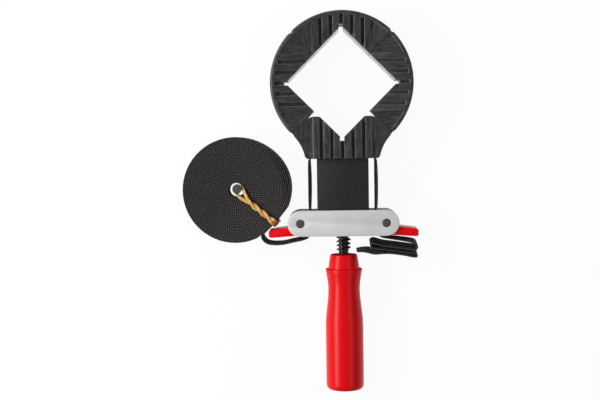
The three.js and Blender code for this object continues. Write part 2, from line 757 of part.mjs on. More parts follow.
bottom_jaw = cutAll(bottom_jaw, [...reliefCuts(jaw_drop, true), ...tongue_cuts,
  ...pocketCuts(bottom_pocket)]);
add('bottom_jaw', bottom_jaw.rotate([0, 0, 180]).translate([0, ring_centre_y, 0]), grey_plastic);

// Webbing inside the bottom jaw, and the free runs down to the housing
const inside_line = bottomStrapLine(jaw_drop - seat_gap);
for (const [name, side] of [['bottom_strap_left', 1], ['bottom_strap_right', -1]]) {
  const line = inside_line.map((p) => new THREE.Vector2(side * p.x, p.y));
  add(name, strapRibbon(line).rotate([0, 0, 180]).translate([0, ring_centre_y, 0]), webbing);
}
const run_low = plate_end_radius + seat_gap;
for (const [name, side] of [['left_strap_run', -1], ['right_strap_run', 1]]) {
  add(name, strapRibbon([new THREE.Vector2(side * strap_run_x, run_low),
    new THREE.Vector2(side * strap_run_x, slider_rise - seat_gap)]), webbing);
}

// Spiral of spare webbing: one unbroken ribbon on edge, flattened a little towards the housing
const coil_centre_x = -pin_x - coil_centre_outset;
const coil_pitch = (coil_radius - strap_thickness / 2 - coil_bore_radius) / coil_turns;
function coilPoint(turn) {
  const angle = coil_end_angle + (coil_turns - turn) * 2 * Math.PI;
  const radius = coil_bore_radius + coil_pitch * turn;
  const facing = Math.max(Math.cos(angle + quarter), 0);
  const flat = 1 - coil_flat_share * facing ** 2;
  return new THREE.Vector2(coil_centre_x + radius * flat * Math.cos(angle),
    coil_centre_y + radius * flat * Math.sin(angle));
}
const coil_line = Array.from({ length: coil_turns * coil_steps_per_turn + 1 },
  (_, i) => coilPoint(i / coil_steps_per_turn));

function stripGeometry(line, thickness, lowAt, height) {
  const left = offsetLine(line, thickness / 2);
  const right = offsetLine(line, -thickness / 2);
  const positions = [];
  const indices = [];
  line.forEach((_, i) => {
    const low = lowAt(i / (line.length - 1));
    positions.push(left[i].x, left[i].y, low, right[i].x, right[i].y, low);
    positions.push(right[i].x, right[i].y, low + height, left[i].x, left[i].y, low + height);
  });
  for (let i = 0; i < line.length - 1; i += 1) {
    for (let j = 0; j < 4; j += 1) {
      const a = i * 4 + j;
      const b = i * 4 + (j + 1) % 4;
      indices.push(a, b, a + 4, b, b + 4, a + 4);
    }
  }
  const last = (line.length - 1) * 4;
  indices.push(0, 2, 1, 0, 3, 2, last, last + 1, last + 2, last, last + 2, last + 3);
  const geometry = new THREE.BufferGeometry();
  geometry.setAttribute('position', new THREE.BufferAttribute(new Float32Array(positions), 3));
  geometry.setIndex(indices);
  return geometry;
}

const coil_strip = stripGeometry(coil_line, strap_thickness, () => coil_lift, strap_width);
add('strap_coil', closedForm(coil_strip), webbing);

const coil_left = offsetLine(coil_line, strap_thickness / 2);
const coil_right = offsetLine(coil_line, -strap_thickness / 2);
let least_gap = Infinity;
const near_steps = 2;
for (let i = 0; i < coil_line.length; i += 1) {
  const next_turn = i + coil_steps_per_turn;
  const last = Math.min(next_turn + near_steps, coil_line.length - 1);
  for (let j = next_turn - near_steps; j <= last; j += 1) {
    const inward = coil_right[j].distanceTo(coil_left[i]);
    const outward = coil_left[j].distanceTo(coil_right[i]);
    least_gap = Math.min(least_gap, inward, outward);
  }
}
console.log('least gap between turns of the coil, mm:', least_gap.toFixed(3));

// The loose webbing goes through places chosen by hand, as shares of its reach: how far outside
// the straight run, and Y
function outside(side, points) {
  return points.map(([out, y]) => [side * (strap_run_x + out), y]);
}

function placesOf(shares) {
  return shares.map(([out, y]) => [out * loose_reach, y * loose_reach]);
}

function route(points, divisions) {
  const places = points.map(([x, y]) => new THREE.Vector3(x, y, 0));
  const curve = new THREE.CatmullRomCurve3(places, false, 'centripetal');
  return curve.getPoints(divisions).map((p) => new THREE.Vector2(p.x, p.y));
}

// Lead from the left cam round the lever's tip to the coil's outer end
const coil_tip = coil_line[coil_line.length - 1];
const coil_before = coil_line[coil_line.length - 2];
const coil_run = new THREE.Vector2().subVectors(coil_tip, coil_before).normalize();
const lead_end = coil_tip.clone().addScaledVector(coil_run, seat_gap);
const lead_before = lead_end.clone().addScaledVector(coil_run, strap_thickness * 2);
const lead_route_shares = [
  [0, -0.12], [0.002, -0.188], [0.038, -0.254], [0.122, -0.294], [0.354, -0.34], [0.548, -0.382],
  [0.738, -0.39], [0.874, -0.36], [0.954, -0.264], [0.922, -0.168],
];
const run_start = [[0, plate_end_radius - seat_gap], [0, cam_radius / 2]];
const lead_points = [
  ...outside(-1, run_start),
  ...outside(-1, placesOf(lead_route_shares)),
  [lead_before.x, lead_before.y], [lead_end.x, lead_end.y],
];
function leadLow(share) {
  const fall = Math.max(share - lead_level_share, 0) / (1 - lead_level_share);
  return strap_low + (coil_lift - strap_low) * fall;
}
const lead_strip = stripGeometry(route(lead_points, lead_steps), strap_thickness, leadLow, strap_width);
add('strap_lead', closedForm(lead_strip), webbing);

// Tail from the right cam, folded back twice below the housing
const tail_route_shares = [
  [0, -0.12], [0.002, -0.184], [0.038, -0.248], [0.128, -0.288], [0.27, -0.306], [0.468, -0.328],
  [0.688, -0.348], [0.802, -0.376], [0.834, -0.428], [0.798, -0.476], [0.73, -0.476],
  [0.416, -0.418], [0.148, -0.384], [-0.06, -0.368], [-0.112, -0.392], [-0.066, -0.428], [0.13, -0.46],
  [0.43, -0.546], [0.69, -0.612], [0.802, -0.648], [0.822, -0.684], [0.77, -0.7], [0.53, -0.658],
  [0.284, -0.62], [0.11, -0.624], [-0.006, -0.636], [-0.122, -0.62],
];
const tail_points = [...outside(1, run_start), ...outside(1, placesOf(tail_route_shares))];
add('strap_tail', strapRibbon(route(tail_points, tail_steps)), webbing);

// Peg in the middle of the coil, and the rubber band round one side of the coil
const coil_top = coil_lift + strap_width;
const peg_x = coil_centre_x + peg_shift;
const peg = upright(peg_diameter / 2, peg_x, coil_centre_y, coil_lift, coil_top + peg_stand, 20);
add('coil_peg', peg, satin_steel);

// The band is a closed flat loop that goes over the coil, down its rim, back below and up the bore
const band_low = coil_lift - band_gap - band_thickness / 2;
const band_high = coil_top + band_gap + band_thickness / 2;
const band_angle = THREE.MathUtils.degToRad(band_direction);
const band_inner = peg_shift + peg_diameter / 2 + band_gap + band_thickness / 2;
const band_outer = coil_radius + band_gap + band_thickness / 2;
const band_loop = [];
const band_corner = band_thickness;
for (const [radius, z, from] of [[band_outer, band_high, 90], [band_outer, band_low, 0],
  [band_inner, band_low, -90], [band_inner, band_high, 180]]) {
  const inward = radius > band_inner ? -band_corner : band_corner;
  const upward = z > band_low ? -band_corner : band_corner;
  for (let k = 0; k <= band_corner_steps; k += 1) {
    const angle = THREE.MathUtils.degToRad(from - 90 * k / band_corner_steps);
    band_loop.push([radius + inward + band_corner * Math.cos(angle),
      z + upward + band_corner * Math.sin(angle)]);
  }
}
const band_section = [[-1, -1], [1, -1], [1, 1], [-1, 1]]
  .map(([u, v]) => [u * band_width / 2, v * band_thickness / 2]);
const band_positions = [];
const band_indices = [];
band_loop.forEach(([radius, z], i) => {
  const next = band_loop[(i + 1) % band_loop.length];
  const last = band_loop[(i + band_loop.length - 1) % band_loop.length];
  const along = new THREE.Vector2(next[0] - last[0], next[1] - last[1]).normalize();
  for (const [across, out] of band_section) {
    const r = radius - along.y * out;
    band_positions.push(coil_centre_x + r * Math.cos(band_angle) - across * Math.sin(band_angle),
      coil_centre_y + r * Math.sin(band_angle) + across * Math.cos(band_angle), z + along.x * out);
  }
  for (let j = 0; j < 4; j += 1) {
    const a = i * 4 + j;
    const b = i * 4 + (j + 1) % 4;
    const c = ((i + 1) % band_loop.length) * 4 + j;
    const d = ((i + 1) % band_loop.length) * 4 + (j + 1) % 4;
    band_indices.push(a, b, c, b, d, c);
  }
});
const band_geometry = new THREE.BufferGeometry();
band_geometry.setAttribute('position', new THREE.BufferAttribute(new Float32Array(band_positions), 3));
band_geometry.setIndex(band_indices);
add('rubber_band', closedForm(band_geometry), amber_rubber);

export default clamp;
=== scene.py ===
import math

import bmesh
import bpy
from mathutils import Matrix, Vector


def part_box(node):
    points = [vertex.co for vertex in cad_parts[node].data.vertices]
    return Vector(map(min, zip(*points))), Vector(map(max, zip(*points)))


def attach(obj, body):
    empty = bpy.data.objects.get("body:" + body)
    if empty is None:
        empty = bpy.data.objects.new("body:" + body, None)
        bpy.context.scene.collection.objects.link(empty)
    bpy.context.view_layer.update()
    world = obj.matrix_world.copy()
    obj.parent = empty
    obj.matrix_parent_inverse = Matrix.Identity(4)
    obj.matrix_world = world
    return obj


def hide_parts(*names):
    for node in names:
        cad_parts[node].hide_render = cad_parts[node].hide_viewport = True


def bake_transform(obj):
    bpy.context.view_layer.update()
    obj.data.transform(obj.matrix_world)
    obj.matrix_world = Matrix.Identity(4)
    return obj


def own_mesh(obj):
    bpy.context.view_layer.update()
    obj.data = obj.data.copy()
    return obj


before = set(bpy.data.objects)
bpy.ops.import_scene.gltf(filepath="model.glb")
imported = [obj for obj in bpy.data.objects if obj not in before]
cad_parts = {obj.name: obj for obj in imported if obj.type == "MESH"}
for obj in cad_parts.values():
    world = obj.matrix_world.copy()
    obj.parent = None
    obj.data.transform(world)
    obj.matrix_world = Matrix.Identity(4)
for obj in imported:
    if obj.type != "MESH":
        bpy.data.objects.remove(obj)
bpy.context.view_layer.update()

# Camera. The clamp lies flat and is seen from straight above, from a little over a metre away,
# with its long axis leaning less than a degree to the left in the picture.
mm = 0.001
camera_place = Vector((-10.4, 79.5, 1082.6)) * mm
camera_target = Vector((-43, 22.7, 18.6)) * mm
camera_lean = math.radians(0.75)
camera_field = math.radians(31.5)

backward = (camera_place - camera_target).normalized()
rightward = Vector((math.cos(camera_lean), -math.sin(camera_lean), 0))
rightward = (rightward - backward * rightward.dot(backward)).normalized()
upward = backward.cross(rightward)
camera_data = bpy.data.cameras.new("camera")
camera_data.sensor_width = 36
camera_data.lens = camera_data.sensor_width / 2 / math.tan(camera_field / 2)
camera = bpy.data.objects.new("camera", camera_data)
camera.matrix_world = (Matrix.Translation(camera_place)
                       @ Matrix((rightward, upward, backward)).transposed().to_4x4())
bpy.context.scene.collection.objects.link(camera)
bpy.context.scene.camera = camera
bpy.context.scene.view_settings.view_transform = "Standard"

# Light. Two long soft boxes stand beside the clamp along its spindle, a strong one on the left
# and a weak one on the right, and a faint one beyond the jaws, in a room of even pale grey.
room_level = 0.21
soft_boxes = [
    ("key_light", Vector((-1050, 190, 820)) * mm, Vector((0, 190, 0)) * mm, 1.6, 0.36, 19.5),
    ("fill_light", Vector((820, -50, 1050)) * mm, Vector((0, -50, 0)) * mm, 1.5, 0.4, 2.6),
    ("jaw_light", Vector((-100, 1100, 450)) * mm, Vector((0, 160, 0)) * mm, 0.9, 0.3, 2),
]
world = bpy.data.worlds.new("room")
bpy.context.scene.world = world
world.use_nodes = True
world.node_tree.nodes["Background"].inputs["Color"].default_value = (1, 1, 1, 1)
world.node_tree.nodes["Background"].inputs["Strength"].default_value = room_level
for name, place, target, width, height, power in soft_boxes:
    lamp_data = bpy.data.lights.new(name, "AREA")
    lamp_data.shape = "RECTANGLE"
    lamp_data.size = width
    lamp_data.size_y = height
    lamp_data.energy = power
    lamp = bpy.data.objects.new(name, lamp_data)
    lamp.location = place
    lamp.rotation_euler = (target - place).to_track_quat("-Z", "Y").to_euler()
    bpy.context.scene.collection.objects.link(lamp)

# Floor. A plain white sheet under the clamp. The camera, mirrors and glass see it as even white,
# which keeps a faint share of the clamp's shadow.
floor_half = 12
floor_white = (0.95, 0.95, 0.95)
shadow_share = 0.06


def new_finish(name, colour, roughness, metallic=0.0, specular=0.5):
    """A material with one shader, and its node tree."""
    finish = bpy.data.materials.new(name)
    finish.use_nodes = True
    shader = finish.node_tree.nodes["Principled BSDF"]
    shader.inputs["Base Color"].default_value = (*colour, 1)
    shader.inputs["Roughness"].default_value = roughness
    shader.inputs["Metallic"].default_value = metallic
    shader.inputs["Specular IOR Level"].default_value = specular
    return finish, finish.node_tree, shader


def calculated(tree, operation, first, second):
    """The two values, each a socket or a number, joined by a Math node."""
    node = tree.nodes.new("ShaderNodeMath")
    node.operation = operation
    for socket, value in zip(node.inputs, (first, second)):
        if isinstance(value, float):
            socket.default_value = value
        else:
            tree.links.new(value, socket)
    return node.outputs[0]


floor_form = bmesh.new()
bmesh.ops.create_grid(floor_form, x_segments=1, y_segments=1, size=floor_half)
floor_mesh = bpy.data.meshes.new("floor")
floor_form.to_mesh(floor_mesh)
floor_form.free()
floor = bpy.data.objects.new("floor", floor_mesh)
bpy.context.scene.collection.objects.link(floor)
floor_finish, floor_tree, floor_shader = new_finish("white_sheet", floor_white, 0.9)
floor_glow = floor_tree.nodes.new("ShaderNodeEmission")
rays = floor_tree.nodes.new("ShaderNodeLightPath").outputs
seen = calculated(floor_tree, "MAXIMUM", rays["Is Camera Ray"], rays["Is Glossy Ray"])
seen = calculated(floor_tree, "MAXIMUM", seen, rays["Is Transmission Ray"])
floor_mix = floor_tree.nodes.new("ShaderNodeMixShader")
floor_tree.links.new(calculated(floor_tree, "MULTIPLY", seen, 1 - shadow_share), floor_mix.inputs["Fac"])
floor_tree.links.new(floor_shader.outputs["BSDF"], floor_mix.inputs[1])
floor_tree.links.new(floor_glow.outputs["Emission"], floor_mix.inputs[2])
floor_tree.links.new(floor_mix.outputs["Shader"], floor_tree.nodes["Material Output"].inputs["Surface"])
floor_mesh.materials.append(floor_finish)

# Straight webbing. One long black polyester strap, 25 mm wide, holds the whole clamp together and
# stands on edge everywhere. Beside the slider it runs from the housing into the bottom jaw.
webbing_width = 25 * mm
webbing_thickness = 1.35 * mm
selvedge_steps = [(0.0, 0.2), (0.1, 0.55), (0.3, 0.85), (0.6, 1.0)]
webbing_black = (0.015, 0.0135, 0.0145)
# The paler colour on the rises of the weave is a painted highlight.
webbing_rise_highlight = (0.17, 0.15, 0.15)
tick_pitch = 2.1 * mm
tick_height = 0.3 * mm
run_leans = {-1: -2.2 * mm, 1: 1.7 * mm}
run_lean_ease = 0.35
run_bulge = 0.9 * mm
run_steps = 36


def new_object(name, form, finish, body=None, replaces=()):
    """The finished bmesh as a named piece that rides on a body."""
    mesh = bpy.data.meshes.new(name)
    form.to_mesh(mesh)
    form.free()
    mesh.materials.append(finish)
    piece = bpy.data.objects.new(name, mesh)
    bpy.context.scene.collection.objects.link(piece)
    if body:
        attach(piece, body)
    if replaces:
        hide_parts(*replaces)
    return piece


def two_tone(tree, factor, low, high, socket, start=0.35, end=0.65):
    """The factor drives a blend between two colours, or two grey levels, into the socket."""
    ramp = tree.nodes.new("ShaderNodeValToRGB")
    ramp.color_ramp.elements[0].position = start
    ramp.color_ramp.elements[1].position = end
    ramp.color_ramp.elements[0].color = (*low, 1)
    ramp.color_ramp.elements[1].color = (*high, 1)
    tree.links.new(factor, ramp.inputs["Fac"])
    tree.links.new(ramp.outputs["Color"], socket)


def noise_of(tree, scale, detail=4.0, stretch=(1, 1, 1)):
    """Noise in the piece's own Object coordinates; scale is in grains per metre."""
    place = tree.nodes.new("ShaderNodeTexCoord")
    stretched = tree.nodes.new("ShaderNodeMapping")
    stretched.inputs["Scale"].default_value = stretch
    noise = tree.nodes.new("ShaderNodeTexNoise")
    noise.inputs["Scale"].default_value = scale
    noise.inputs["Detail"].default_value = detail
    tree.links.new(place.outputs["Object"], stretched.inputs["Vector"])
    tree.links.new(stretched.outputs["Vector"], noise.inputs["Vector"])
    return noise.outputs["Fac"]


def relief(tree, shader, height, distance, strength=1.0):
    """The height, times the distance in metres, as a bump of the shader's normal."""
    bump = tree.nodes.new("ShaderNodeBump")
    bump.inputs["Strength"].default_value = strength
    bump.inputs["Distance"].default_value = distance
    tree.links.new(height, bump.inputs["Height"])
    tree.links.new(bump.outputs["Normal"], shader.inputs["Normal"])


def wave_of(tree, distance, pitch):
    """A sine wave from 0 to 1 of the distance, one period per pitch."""
    wave = tree.nodes.new("ShaderNodeMath")
    wave.operation = "SINE"
    tree.links.new(calculated(tree, "MULTIPLY", distance, 2 * math.pi / pitch), wave.inputs[0])
    return calculated(tree, "ADD", calculated(tree, "MULTIPLY", wave.outputs[0], 0.5), 0.5)


def woven_finish():
    """Black webbing: the rise of each weft thread is painted paler as a highlight, in staggered rows."""
    finish, tree, shader = new_finish("woven_webbing", webbing_black, 0.85, 0, 0.25)
    place = tree.nodes.new("ShaderNodeUVMap")
    place.uv_map = "strap"
    split = tree.nodes.new("ShaderNodeSeparateXYZ")
    tree.links.new(place.outputs["UV"], split.inputs["Vector"])
    along = wave_of(tree, split.outputs["X"], tick_pitch)
    slanted = calculated(tree, "ADD", split.outputs["X"], split.outputs["Y"])
    across = wave_of(tree, slanted, tick_pitch)
    rises = calculated(tree, "MULTIPLY", along, across)
    uneven = calculated(tree, "ADD", calculated(tree, "MULTIPLY", noise_of(tree, 900, 3), 1.1), 0.35)
    two_tone(tree, calculated(tree, "MULTIPLY", rises, uneven), webbing_black, webbing_rise_highlight,
             shader.inputs["Base Color"], 0.2, 0.72)
    relief(tree, shader, rises, tick_height, 0.7)
    return finish


def section_of(width, thickness, steps, bow=0.0):
    """A flat or bowed section with rounded edges, as (across, up the width) points in order."""
    half = thickness / 2
    rise = [(inset * thickness, share * half) for inset, share in steps]
    rise += [(width * share, half) for share in (0.25, 0.5, 0.75)]
    rise += [(width - inset * thickness, share * half) for inset, share in reversed(steps)]
    there = [(side + bow * math.sin(math.pi * height / width), height) for height, side in rise]
    back = [(-side + bow * math.sin(math.pi * height / width), height) for height, side in reversed(rise)]
    return there + back


def swept(name, section, line, acrosses, finish):
    """A closed strip: the section follows the line, its second axis along each given direction."""
    form = bmesh.new()
    uv_layer = form.loops.layers.uv.new("strap")
    travel = [0.0]
    for here, there in zip(line, line[1:]):
        travel.append(travel[-1] + (there - here).length)
    around = [0.0]
    for j, here in enumerate(section):
        around.append(around[-1] + math.dist(here, section[(j + 1) % len(section)]))
    rows = []
    for i, point in enumerate(line):
        along = (line[min(i + 1, len(line) - 1)] - line[max(i - 1, 0)]).normalized()
        out = along.cross(acrosses[i]).normalized()
        rows.append([form.verts.new(point + out * a + acrosses[i] * b) for a, b in section])
    for i in range(len(rows) - 1):
        for j in range(len(section)):
            k = (j + 1) % len(section)
            face = form.faces.new((rows[i][j], rows[i][k], rows[i + 1][k], rows[i + 1][j]))
            places = ((i, j), (i, j + 1), (i + 1, j + 1), (i + 1, j))
            for loop, (row, column) in zip(face.loops, places):
                loop[uv_layer].uv = (travel[row], around[column])
    form.faces.new(list(reversed(rows[0])))
    form.faces.new(rows[-1])
    bmesh.ops.recalc_face_normals(form, faces=form.faces)
    for face in form.faces:
        face.smooth = True
    return new_object(name, form, finish)


webbing_finish = woven_finish()
strap_section = section_of(webbing_width, webbing_thickness, selvedge_steps)


def webbing_piece(name, plan, lows, leans, replaces=(), section=strap_section):
    """Webbing on edge: a plan line, the height of its lower edge, and how far its top leans."""
    line = [Vector((x, y, low)) for (x, y), low in zip(plan, lows)]
    acrosses = [Vector((lean[0], lean[1], webbing_width)).normalized() for lean in leans]
    piece = swept(name, section, line, acrosses, webbing_finish)
    if replaces:
        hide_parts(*replaces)
    return piece, sum((there - here).length for here, there in zip(line, line[1:]))


run_low, run_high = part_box("right_strap_run")
run_x = (run_low.x + run_high.x) / 2
strap_low = run_low.z
run_length = run_high.y - run_low.y
for side, name in ((-1, "left_strap_run"), (1, "right_strap_run")):
    shares = [i / run_steps for i in range(run_steps + 1)]
    swells = [math.sin(math.pi * share) for share in shares]
    plan = [(side * (run_x - run_bulge * max(-side, 0) * swell), run_low.y + run_length * share)
            for share, swell in zip(shares, swells)]
    leans = [(run_leans[side] * swell ** run_lean_ease, 0) for swell in swells]
    piece, length = webbing_piece(name.replace("run", "side"), plan, [strap_low] * len(plan), leans, [name])
    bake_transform(piece)

# Webbing round the jaws. The same strap lies in the channel of each rim and goes straight across
# the four splits, where more of it shows when the jaws are spread apart.
ring_low, ring_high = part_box("left_jaw")
ring_centre = Vector((0, (ring_low.y + ring_high.y) / 2))
ring_radius = -ring_low.x
strap_inset = 1.225 * mm
strap_radius = ring_radius - strap_inset
arc_steps = 40
split_zone = math.radians(2.2)
split_steps = 12
neck_ease = 3 * mm


def ring_point(angle):
    """A plan point on the webbing's middle line round the ring."""
    return (strap_radius * math.cos(angle), ring_centre.y + strap_radius * math.sin(angle))


def packed_angles(start, split, end):
    """Angles from start to end, packed close before and after the split, where the strap opens."""
    near = math.copysign(split_zone, split - start)
    before = [start + (split - near - start) * i / arc_steps for i in range(arc_steps)]
    inside = [split - near + 2 * near * i / split_steps for i in range(split_steps)]
    after = [split + near + (end - split - near) * i / arc_steps for i in range(arc_steps + 1)]
    return before + inside + after


for name, degrees, first_body, second_body, nodes in (
        ("strap_upper_left", (180, 135, 90), "left_jaw", "top_jaw", ["top_strap"]),
        ("strap_upper_right", (90, 45, 0), "top_jaw", "right_webbing", [])):
    start, split, end = [math.radians(angle) for angle in degrees]
    plan = [ring_point(angle) for angle in packed_angles(start, split, end)]
    piece, length = webbing_piece(name, plan, [strap_low] * len(plan), [(0, 0)] * len(plan), nodes)
    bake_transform(piece)

neck_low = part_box("bottom_strap_left")[0].y
corner_y = ring_centre.y - (strap_radius * math.sqrt(2) - run_x)
for side, name, jaw, nodes in (
        (-1, "strap_lower_left", "left_jaw", ["left_strap", "bottom_strap_left"]),
        (1, "strap_lower_right", "right_jaw", ["right_strap", "bottom_strap_right"])):
    middle = math.pi if side < 0 else 0.0
    split = middle - side * math.radians(45)
    angles = packed_angles(middle, split, split - side * split_zone)[:arc_steps + split_steps // 2 + 1]
    plan = [ring_point(angle) for angle in angles]
    split_at = Vector(plan[-1])
    corner, neck = Vector((side * run_x, corner_y)), Vector((side * run_x, neck_low))
    toward, down = (corner - split_at).normalized(), (neck - corner).normalized()
    before, after = corner - toward * neck_ease, corner + down * neck_ease
    plan += [tuple(split_at.lerp(before, share)) for share in (0.03, 0.08, 0.15, 0.3, 0.6)]
    plan += [tuple(before.lerp(corner, t).lerp(corner.lerp(after, t), t)) for t in (0, 0.25, 0.5, 0.75, 1)]
    plan += [tuple(after.lerp(neck, share)) for share in (0.33, 0.66, 1)]
    piece, length = webbing_piece(name, plan, [strap_low] * len(plan), [(0, 0)] * len(plan), nodes)
    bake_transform(piece)

# Coil. The spare webbing is rolled up from its inner end into a tight flat coil that lies on its
# lower selvedge; it is pressed flat where the band and the left lever are, and its last turns on
# the far right are looser.
coil_centre = Vector((-107, 33.4)) * mm
coil_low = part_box("strap_coil")[0].z
coil_outer = 53.2 * mm
coil_bore = 7.4 * mm
coil_turns = 30
turn_steps = 60
coil_end = math.radians(-55)
flat_sides = [(math.radians(-36), 0.957), (math.radians(-46), 0.949)]
loose_side = math.radians(12)
loose_turns = 4
loose_gap = 2.6 * mm
loose_narrowing = 5
coil_unevenness = 0.4 * mm
coil_ripple = 0.37 / 6
coil_sway = 0.0041
coil_bow = 0.5 * mm


def coil_point(turn):
    """A plan point of the coil after so many turns from its middle."""
    angle = coil_end + (coil_turns - turn) * 2 * math.pi
    radius = coil_bore + (coil_outer - coil_bore) * turn / coil_turns
    slack = loose_gap * max(1 - (coil_turns - turn) / loose_turns, 0)
    radius += slack * max(math.cos(angle - loose_side), 0) ** loose_narrowing
    radius *= min(share / max(math.cos(angle - side), share) for side, share in flat_sides)
    return (coil_centre.x + radius * math.cos(angle), coil_centre.y + radius * math.sin(angle))


coil_plan = [coil_point(i / turn_steps) for i in range(coil_turns * turn_steps + 1)]
coil_lows = [coil_low + coil_unevenness * (0.5 + 0.5 * math.sin(i * coil_ripple) * math.sin(i * coil_sway))
             for i in range(len(coil_plan))]
coil, coil_length = webbing_piece(
    "wound_webbing", coil_plan, coil_lows, [(0, 0)] * len(coil_plan), ["strap_coil"],
    section_of(webbing_width, webbing_thickness, selvedge_steps, coil_bow))
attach(coil, "housing")
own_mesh(coil)

# Lead. From the left cam the webbing goes under the lever and round its tip, and sinks from the
# level of the housing to that of the coil, leaning outwards as it goes.
lead_route = [(-32.5, 12.4), (-32.5, 4), (-32.5, -6), (-32.6, -9.4), (-34.4, -12.7), (-38.6, -14.7),
              (-50.2, -17), (-59.9, -19.1), (-69.4, -19.5), (-76.2, -18), (-80.2, -13.6)]
lead_lean = 1.6 * mm
lead_lean_start = 0.3
lead_lean_ease = 0.15
lead_fall_start = 0.25
lead_joins = (3 * mm, 0.35 * mm)
loose_steps = 6


def smooth_line(points, steps):
    """Points on a smooth curve through the given ones, at even parameter steps."""
    fine = []
    last = len(points) - 1
    for i in range(last):
        before, here, after, beyond = (points[max(i - 1, 0)], points[i], points[i + 1],
                                       points[min(i + 2, last)])
        for k in range(steps):
            t = k / steps
            fine.append(0.5 * ((2 * here) + (after - before) * t
                               + (2 * before - 5 * here + 4 * after - beyond) * t * t
                               + (3 * here - before - 3 * after + beyond) * t ** 3))
    return fine + [points[last].copy()]


def ease_in(i, count, start, ease):
    """A share from 0 to 1 that comes in over part of the way, for point i of so many."""
    return min(max(i / (count - 1) - start, 0) / ease, 1)


coil_tip = Vector(coil_plan[-1])
coil_run = (coil_tip - Vector(coil_plan[-2])).normalized()
lead_points = [Vector(point) * mm for point in lead_route]
lead_points += [coil_tip + coil_run * join for join in lead_joins]
lead_plan = smooth_line(lead_points, loose_steps)
lead_lows = [strap_low + (coil_low - strap_low)
             * max(i / (len(lead_plan) - 1) - lead_fall_start, 0) / (1 - lead_fall_start)
             for i in range(len(lead_plan))]
lead_fade = len(lead_plan) // 5
lead_leans = []
for i, here in enumerate(lead_plan):
    along = (lead_plan[min(i + 1, len(lead_plan) - 1)] - lead_plan[max(i - 1, 0)]).normalized()
    lean = lead_lean * ease_in(i, len(lead_plan), lead_lean_start, lead_lean_ease)
    lean *= min((len(lead_plan) - 1 - i) / lead_fade, 1)
    lead_leans.append((-along.y * lean, along.x * lean))
lead, lead_length = webbing_piece("webbing_lead", [tuple(p) for p in lead_plan], lead_lows, lead_leans,
                                  ["strap_lead"])
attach(lead, "housing")

# Tail. The free end beyond the right cam is folded back on itself twice and tucked below the
# housing; its folds lean over, and its tip, a piece of its own, stands more upright towards its end.
tail_route = [
    (32.5, 12.4), (32.5, 4), (32.5, -6), (32.6, -9.2), (34.4, -12.4), (38.9, -14.2), (46, -14.9),
    (55.9, -16), (66.9, -17.6), (71.6, -19), (73.2, -21.4), (71.6, -23.4), (68.2, -23.5),
    (53.3, -21.2), (39.9, -19.4), (30.5, -16.9), (26.9, -18.6), (29.2, -21.2), (39, -22.8),
    (54, -24.7), (67, -27.2), (71.6, -28.2), (72.8, -29.7), (70, -30.6), (59, -28.4), (46.7, -26.8),
    (38, -26.8), (32.2, -27.2), (27.5, -26.7)]
tail_lean = Vector((0.0, -4.4)) * mm
tail_lean_start = 0.15
tail_lean_ease = 0.25
tail_plan = smooth_line([Vector(point) * mm for point in tail_route], loose_steps)
tail_leans = [tuple(tail_lean * ease_in(i, len(tail_plan), tail_lean_start, tail_lean_ease))
              for i in range(len(tail_plan))]
tail, tail_length = webbing_piece("webbing_tail", [tuple(p) for p in tail_plan],
                                  [strap_low] * len(tail_plan), tail_leans, ["strap_tail"])
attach(tail, "housing")

tip_route = [(27.15, -26.65), (22.5, -26.3), (17.5, -26.8), (12.9, -27.8)]
tip_upright = 0.8
tip_plan = smooth_line([Vector(point) * mm for point in tip_route], loose_steps)
tip_leans = [tuple(tail_lean * (1 - tip_upright * i / (len(tip_plan) - 1))) for i in range(len(tip_plan))]
tip, tip_length = webbing_piece("webbing_tip", [tuple(p) for p in tip_plan], [strap_low] * len(tip_plan),
                                tip_leans)
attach(tip, "housing")
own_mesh(tip)

# Peg. A turned steel button stands in the bore of the coil: its shank holds the rubber band and
# its flat head keeps the band from slipping off.
peg_low, peg_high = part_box("coil_peg")
peg_head = 4.6 * mm
peg_shank = 3.1 * mm
peg_head_height = 1.4 * mm
peg_edge = 0.35 * mm
peg_grey = (0.075, 0.082, 0.09)
peg_segments = 48
peg_aside_x, peg_aside_y, peg_above = 1.9 * mm, 1.5 * mm, 0.6 * mm
peg_axis = Vector((coil_centre.x + peg_aside_x, coil_centre.y + peg_aside_y, 0))
peg_top = peg_high.z + peg_above


def lathe(profile, axis_point, axis, segments):
    """A full turn of the profile, points in the frame, closed and with its faces pointing out."""
    form = bmesh.new()
    verts = [form.verts.new(point) for point in profile]
    edges = [form.edges.new(pair) for pair in zip(verts, verts[1:])]
    bmesh.ops.spin(form, geom=verts + edges, cent=axis_point, axis=axis, dvec=(0, 0, 0),
                   angle=2 * math.pi, steps=segments, use_merge=True, use_duplicate=False)
    bmesh.ops.remove_doubles(form, verts=form.verts, dist=1e-6)
    bmesh.ops.recalc_face_normals(form, faces=form.faces)
    for face in form.faces:
        face.smooth = True
    return form


def turned_steel(name, colour, roughness, metallic):
    """Steel as it leaves the lathe, with faint rings and a little tarnish."""
    finish, tree, shader = new_finish(name, colour, roughness, metallic, 0.4)
    two_tone(tree, noise_of(tree, 260, 5), [c * 0.8 for c in colour], [min(c * 1.25, 1) for c in colour],
             shader.inputs["Base Color"], 0.3, 0.7)
    relief(tree, shader, noise_of(tree, 900, 2), 0.02 * mm, 0.5)
    return finish


peg_profile = [
    (0, peg_low.z), (peg_shank, peg_low.z), (peg_shank, peg_top - peg_head_height),
    (peg_head - peg_edge, peg_top - peg_head_height), (peg_head, peg_top - peg_head_height + peg_edge),
    (peg_head, peg_top - peg_edge), (peg_head - peg_edge, peg_top), (0, peg_top)]
peg_form = lathe([Vector((r, 0, z)) + peg_axis for r, z in peg_profile], peg_axis, (0, 0, 1), peg_segments)
peg = new_object("peg", peg_form, turned_steel("peg_steel", peg_grey, 0.5, 0.3), "housing",
                 ["coil_peg"])
peg.data.set_sharp_from_angle(angle=math.radians(38))

